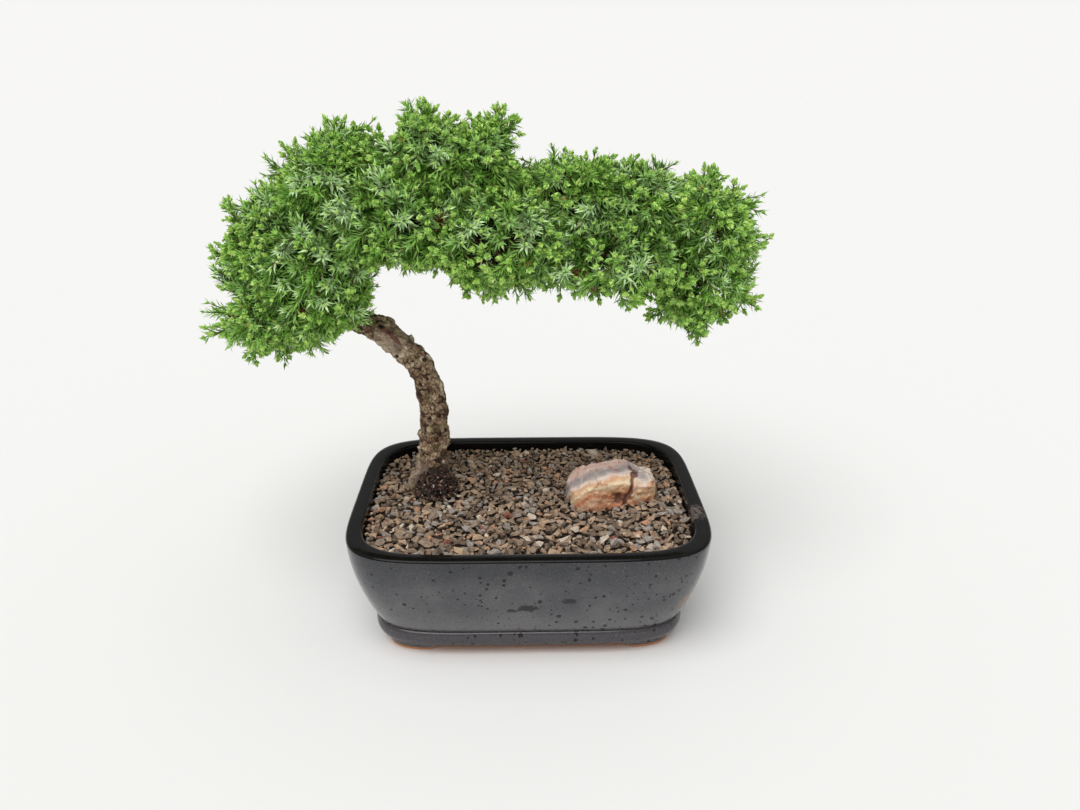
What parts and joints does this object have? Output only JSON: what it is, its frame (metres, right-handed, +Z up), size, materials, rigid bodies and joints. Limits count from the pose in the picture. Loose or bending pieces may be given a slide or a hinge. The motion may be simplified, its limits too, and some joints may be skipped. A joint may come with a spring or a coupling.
{
  "type": "juniper bonsai in a glazed pot",
  "caption": "Small juniper tree with a leaning, bent trunk and a long level crown of needle sprays, in a low glazed pot with gravel and a stone.",
  "frame": {"origin": "under the middle of the whole, on the plane that the pot's feet stand on", "axes": "+X to the right along the crown's length, +Y to the back, +Z up"},
  "size_m": [0.3226, 0.1766, 0.288],
  "materials": {
    "glaze": "gloss",
    "gravel": "matte",
    "stone": "satin",
    "bark": "matte",
    "needles": "matte"
  },
  "bodies": {
    "root": {"pot": "glaze", "soil": "gravel", "stone": "stone", "trunk": "bark", "crook": "bark", "leader_inner": "bark", "leader_outer": "bark", "bough_low_left": "bark", "bough_inner_front": "bark", "bough_left_shoulder": "bark", "bough_back_left": "bark", "bough_upper_left": "bark", "bough_brow": "bark", "bough_top": "bark", "bough_top_right": "bark", "bough_arm_front": "bark", "bough_arm_back": "bark", "bough_arm_crest": "bark", "bough_right_front": "bark", "bough_right_crest": "bark", "bough_right_back": "bark", "bough_right_low": "bark", "foliage_low_left": "needles", "foliage_inner_front": "needles", "foliage_left_shoulder": "needles", "foliage_back_left": "needles", "foliage_upper_left": "needles", "foliage_brow": "needles", "foliage_top": "needles", "foliage_top_right": "needles", "foliage_arm_front": "needles", "foliage_arm_back": "needles", "foliage_arm_crest": "needles", "foliage_right_front": "needles", "foliage_right_crest": "needles", "foliage_right_back": "needles", "foliage_right_low": "needles", "foliage_right_far": "needles"}
  },
  "joints": []
}
